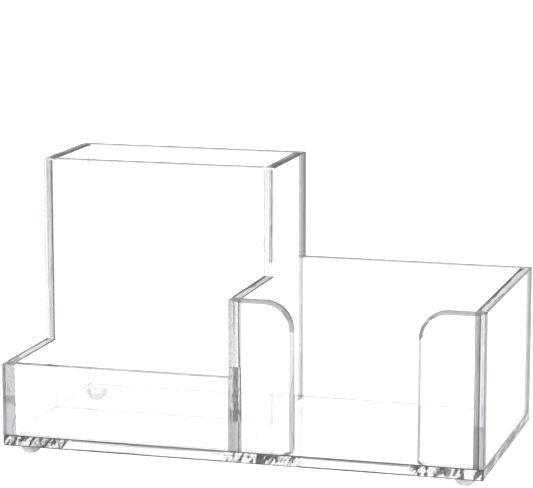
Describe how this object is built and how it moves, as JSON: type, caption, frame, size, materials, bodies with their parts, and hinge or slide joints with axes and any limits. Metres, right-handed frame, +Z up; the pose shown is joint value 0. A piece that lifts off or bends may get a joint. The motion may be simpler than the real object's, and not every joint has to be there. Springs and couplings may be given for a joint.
{
  "type": "desk organizer",
  "caption": "Clear acrylic desk organizer with a tall pen cup, a shallow tray in front of it and an open-fronted memo bay, on a base plate with domed bumper feet.",
  "frame": {"origin": "on the table, under the middle of the base plate", "axes": "+X towards the memo bay's side, +Y towards the back panel, +Z up"},
  "size_m": [0.168, 0.085, 0.0976],
  "materials": {
    "base_acrylic": "clear, polished",
    "sheet_acrylic": "clear, polished edges",
    "bumper_feet": "translucent, satin"
  },
  "bodies": {
    "root": {"base_plate": "base_acrylic", "left_side_panel": "sheet_acrylic", "right_side_panel": "sheet_acrylic", "divider_panel": "sheet_acrylic", "back_panel": "sheet_acrylic", "cup_front_panel": "sheet_acrylic", "tray_front_panel": "sheet_acrylic", "memo_front_left_upright": "sheet_acrylic", "memo_front_right_upright": "sheet_acrylic", "foot_front_left": "bumper_feet", "foot_front_right": "bumper_feet", "foot_rear_left": "bumper_feet", "foot_rear_right": "bumper_feet"}
  },
  "joints": []
}
